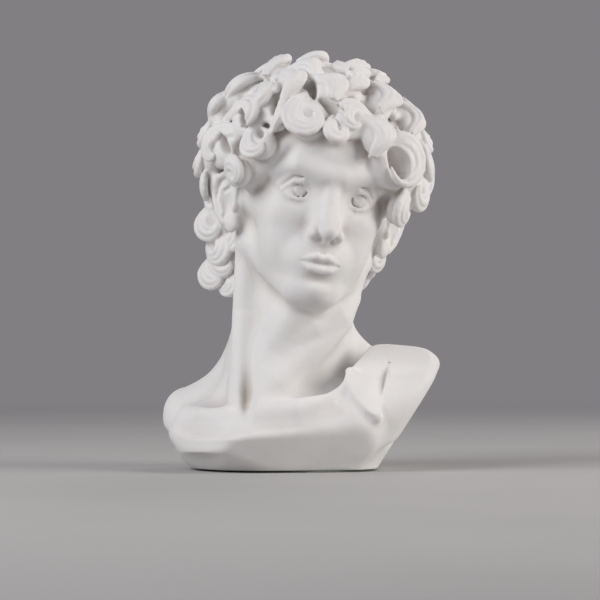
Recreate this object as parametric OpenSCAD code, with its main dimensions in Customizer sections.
// Classical bust: a hollow cast head, neck and cut chest, closed underneath by a plate.
// The row frame has +Z up, -Y towards the viewer, and its origin at the centre of the resting face.

/* [Casting] */
// Height from the felt to the top of the hair
bust_h = 300; // [270:5:330]
// Wall of the hollow casting
wall = 9; // [7:0.5:10]
// Turn of the face to its own left
head_yaw = 12; // [0:1:16]
// Lean of the head to its own left
head_roll = 9.5; // [4:0.5:12]
// Nod of the head
head_pitch = 2; // [0:1:6]

/* [Base] */
// Width of the resting outline
base_w = 128; // [118:2:132]
// Depth of the resting outline
base_d = 112; // [100:2:116]
// Thickness of the closing plate
plate_t = 6; // [4:1:8]
// Thickness of the felt
felt_t = 1.5; // [1:0.5:3]
// Diameter of the filling hole's bung at its head
bung_d = 34; // [28:1:38]

/* [Armature] */
// Diameter of the steel rod in the neck
rod_d = 10; // [8:1:12]
// Length of the steel rod
rod_l = 150; // [130:5:160]

/* [Hidden] */

u = bust_h / 300;            // the landmarks below are for a bust 300 high
head_h = 156 * u;            // chin to crown, without the hair
head_at = [3, -12, 119] * u; // chin level on the skull's own axis
hair_at = [2.5, 13, 95.5] * u; // middle of the hair, in the head's frame
hair_r = [85, 85, 86.6] * u;
lock_r = 17 * u;
lock_count = 78;
chest_n = 2.6;               // squareness of the base outline
plate_top = felt_t + plate_t;
plate_fit = 0.4;             // gap for adhesive round the plate
felt_inset = 3;
bung_neck_d = bung_d - 8;
bung_head_t = 2.5;
bung_taper = 1;
neck_in = 40 * u - wall;     // radius of the hollow in the neck
neck_axis = [0, 15, 0] * u;
rod_foot = plate_top + 22;
tie_t = 10;
ballast_t = 20;
fine = 20;
coarse = 12;
lock_facets = 7;

function at(x, y, z) = [x, y, z] * u;

// Superellipse that the chest stands on, moved in by inset
function base_point(a, inset) = [
    (base_w / 2 - inset) * sign(cos(a)) * pow(abs(cos(a)), 2 / chest_n),
    (base_d / 2 - inset) * sign(sin(a)) * pow(abs(sin(a)), 2 / chest_n)];

module base_outline(inset = 0) {
    polygon([for (a = [0 : 6 : 354]) base_point(a, inset)]);
}

module ball(p, r, facets = coarse) {
    translate(p) sphere(r = r, $fn = facets);
}

module limb(p, r, q, s, facets = coarse) {
    hull() {
        ball(p, r, facets);
        ball(q, s, facets);
    }
}

module ovoid(centre, radii, facets = fine) {
    translate(centre) scale(radii) sphere(r = 1, $fn = facets);
}

// --- Chest, shoulders and neck ---

module chest() {
    hull() {
        translate([0, 0, felt_t]) linear_extrude(1) base_outline();
        ball(at(-80, 22, 42), 11 * u);
        ball(at(-78, 34, 30), 10 * u);
        ball(at(-60, -26, 34), 13 * u);
        ball(at(-20, -42, 34), 14 * u);
        ball(at(40, -40, 38), 12 * u);
        ball(at(62, 2, 44), 12 * u);
        ball(at(52, 40, 44), 12 * u);
        ball(at(-10, 46, 44), 14 * u);
    }
}

module shoulders() {
    hull() {
        ball(at(-82, 24, 43), 9 * u);
        ball(at(-50, 38, 46), 14 * u);
        ball(at(-4, 18, 70), 42 * u, fine);
        ball(at(-44, -30, 36), 10 * u);
    }
    hull() {
        ball(at(-4, 18, 70), 42 * u, fine);
        ball(at(62, 16, 70), 12 * u);
        ball(at(46, 40, 54), 14 * u);
        ball(at(34, -34, 44), 12 * u);
    }
    hull() {
        ball(at(-6, 12, 66), 40 * u, fine);
        ball(at(-40, -34, 36), 11 * u);
        ball(at(30, -36, 44), 12 * u);
    }
    hull() {
        ball(at(0, 22, 100), 37 * u, fine);
        ball(at(-70, 28, 46), 12 * u);
        ball(at(58, 24, 70), 13 * u);
    }
}

// Raised piece of the left shoulder, cut off by a sloping flat
module shoulder_block() {
    r = 2.5 * u;
    hull() {
        ball(at(41, -36, 69), r);
        ball(at(70, -40, 66), r);
        ball(at(103.5, -20, 72), r);
        ball(at(95, 2, 82), r);
        ball(at(62, 2, 88), r);
        ball(at(58, -50, 34), r);
        ball(at(64, -22, 8), r);
        ball(at(60, 24, 12), r);
        ball(at(92, 14, 66), r);
    }
}

module neck() {
    limb(at(3, 18, 150), 42 * u, at(-3, 18, 72), 45 * u, fine);
    limb(at(6, -24, 118), 18 * u, at(-24, -28, 56), 12 * u);
}

// Cords of muscle from behind the ears to the pit of the neck, and the collar bones
module neck_cords() {
    limb(at(-34, 8, 146), 12 * u, at(-34, -28, 54), 10 * u);
    limb(at(44, 2, 140), 12 * u, at(-22, -36, 52), 9 * u);
    limb(at(-38, -40, 42), 7 * u, at(-80, 4, 46), 8 * u);
    limb(at(-22, -44, 43), 7 * u, at(36, -42, 58), 8 * u);
}

// --- Head, in its own frame: X to its left, -Y forward, Z up from the chin ---

module in_head() {
    translate(head_at) rotate([0, head_roll, 0]) rotate([0, 0, head_yaw])
        rotate([head_pitch, 0, 0]) scale(head_h) children();
}

module skull() {
    ovoid([0, 0.06, 0.62], [0.33, 0.43, 0.38]);
    ovoid([0, -0.08, 0.66], [0.28, 0.285, 0.26]);
    ovoid([0, -0.07, 0.42], [0.265, 0.285, 0.29]);
    hull() {
        for (side = [-1, 1]) {
            ball([side * 0.245, 0.01, 0.27], 0.055);
            ball([side * 0.22, -0.16, 0.42], 0.075);
            ball([side * 0.25, 0.02, 0.46], 0.07);
            ball([side * 0.07, -0.265, 0.08], 0.08);
        }
        ball([0, -0.25, 0.25], 0.125);
    }
}

module face() {
    for (side = [-1, 1]) {
        limb([side * 0.06, -0.33, 0.575], 0.045, [side * 0.23, -0.24, 0.585], 0.035);
        ovoid([side * 0.125, -0.235, 0.462], [0.075, 0.08, 0.06], coarse);
        limb([side * 0.20, -0.20, 0.40], 0.07, [side * 0.28, -0.02, 0.44], 0.045);
        ball([side * 0.055, -0.375, 0.325], 0.036);
    }
    limb([0, -0.34, 0.55], 0.032, [0, -0.445, 0.345], 0.037);
    limb([0, -0.30, 0.52], 0.05, [0, -0.335, 0.33], 0.075);
    limb([-0.065, -0.345, 0.222], 0.022, [0.065, -0.345, 0.222], 0.022);
    limb([-0.05, -0.345, 0.175], 0.026, [0.05, -0.345, 0.175], 0.026);
    ball([0, -0.30, 0.07], 0.085);
}

module ear(side) {
    hull() {
        ball([side * 0.325, 0.03, 0.53], 0.035);
        ball([side * 0.335, 0.10, 0.52], 0.04);
        ball([side * 0.305, 0.02, 0.33], 0.025);
    }
}

// --- Hair: comma-shaped locks set out evenly on an ovoid round the skull ---

golden = 180 * (3 - sqrt(5));

function lock_dir(i) = let (z = 1 - 2 * (i + 0.5) / lock_count, a = i * golden)
    [sqrt(1 - z * z) * cos(a), sqrt(1 - z * z) * sin(a), z];

// A lock grows only where the face, the throat and the neck are not
function has_hair(d) = d[1] < 0 ? d[2] > 0.30 - 1.5 * max(0, abs(d[0]) - 0.72)
                                : d[2] > -0.86 + 0.30 * (1 - d[1]);

function on_hair(d, sink) = [for (k = [0 : 2]) hair_at[k] + d[k] * (hair_r[k] - sink)] / head_h;

module lock(d, turn) {
    r = lock_r / head_h;
    raw = [cos(turn), sin(turn), -0.8 * sin(turn)];
    flow = 1.1 * r * (raw - (raw * d) * d);
    bend = cross(d, flow);
    limb(on_hair(d, lock_r) - flow, 0.75 * r, on_hair(d, 0.9 * lock_r), 0.95 * r, lock_facets);
    limb(on_hair(d, 0.9 * lock_r), 0.95 * r, on_hair(d, lock_r) + 0.7 * (flow + bend), 0.6 * r, lock_facets);
}

module hair() {
    ovoid((hair_at + at(0, 4, 4)) / head_h, (hair_r - at(17, 17, 17)) / head_h);
    for (i = [0 : lock_count - 1])
        if (has_hair(lock_dir(i)))
            lock(lock_dir(i), 77 * i);
}

// --- The casting ---

module outside() {
    difference() {
        union() {
            chest();
            shoulders();
            shoulder_block();
            neck();
            neck_cords();
            in_head() {
                skull();
                face();
                ear(-1);
                ear(1);
                hair();
            }
        }
        translate([0, 0, felt_t - bust_h]) cube(2 * bust_h, center = true);
    }
}

module hollow() {
    hull() {
        translate([0, 0, plate_top]) linear_extrude(1) base_outline(wall);
        ball(at(-60, 20, 36), 25 * u - wall);
        ball(at(50, 18, 46), 25 * u - wall);
        ball(at(-18, -22, 30), 24 * u - wall);
        ball(at(0, 28, 36), 24 * u - wall);
        translate(neck_axis + [0, 0, 62 * u]) cylinder(r = neck_in, h = 1, $fn = 48);
    }
    translate(neck_axis + [0, 0, 50 * u]) cylinder(r = neck_in, h = 122 * u, $fn = 48);
    in_head() ovoid([0, 0.11, 0.65], [0.36, 0.45, 0.40] - [1, 1, 1] * wall / head_h);
}

module bust_casting() {
    color("ghostwhite") difference() {
        outside();
        hollow();
        translate([0, 0, felt_t - 1]) linear_extrude(plate_t + 2) base_outline(wall);
    }
}

// --- Inside the casting ---

module rod_space(radius) {
    translate(neck_axis + [0, 0, rod_foot]) cylinder(r = radius, h = rod_l, $fn = 48);
}

module neck_rod() {
    color("slategray") rod_space(rod_d / 2);
}

// Poured disc that bonds the rod to the wall of the neck
module tie(z) {
    difference() {
        translate(neck_axis + [0, 0, z]) cylinder(r = neck_in, h = tie_t, $fn = 48);
        rod_space(rod_d / 2);
    }
}

module upper_tie() {
    color("wheat") tie(136 * u);
}

module lower_tie() {
    color("wheat") tie(80 * u);
}

module ballast() {
    color("tan") difference() {
        intersection() {
            hollow();
            translate([-base_w, -base_d, plate_top]) cube([2 * base_w, 2 * base_d, ballast_t]);
        }
        translate([0, 0, plate_top - 1]) cylinder(d = bung_d + 6, h = ballast_t + 2, $fn = 72);
    }
}

module base_plate() {
    color("gainsboro") translate([0, 0, felt_t]) difference() {
        linear_extrude(plate_t) base_outline(wall + plate_fit);
        translate([0, 0, -1]) cylinder(d = bung_neck_d, h = plate_t + 2, $fn = 72);
        translate([0, 0, -1]) cylinder(d = bung_d + 1, h = 1 + bung_head_t, $fn = 72);
    }
}

module filler_bung() {
    color("dimgray") translate([0, 0, felt_t]) {
        cylinder(d = bung_d, h = bung_head_t, $fn = 72);
        cylinder(d = bung_neck_d, h = plate_t + 2, $fn = 72);
        translate([0, 0, plate_t + 2])
            cylinder(d1 = bung_neck_d + 2 * bung_taper, d2 = bung_neck_d - 4, h = 5, $fn = 72);
    }
}

module felt_base() {
    color("darkolivegreen") difference() {
        linear_extrude(felt_t) base_outline(felt_inset);
        translate([0, 0, -1]) cylinder(d = bung_d + 4, h = felt_t + 2, $fn = 72);
    }
}

bust_casting();
neck_rod();
upper_tie();
lower_tie();
ballast();
base_plate();
filler_bung();
felt_base();
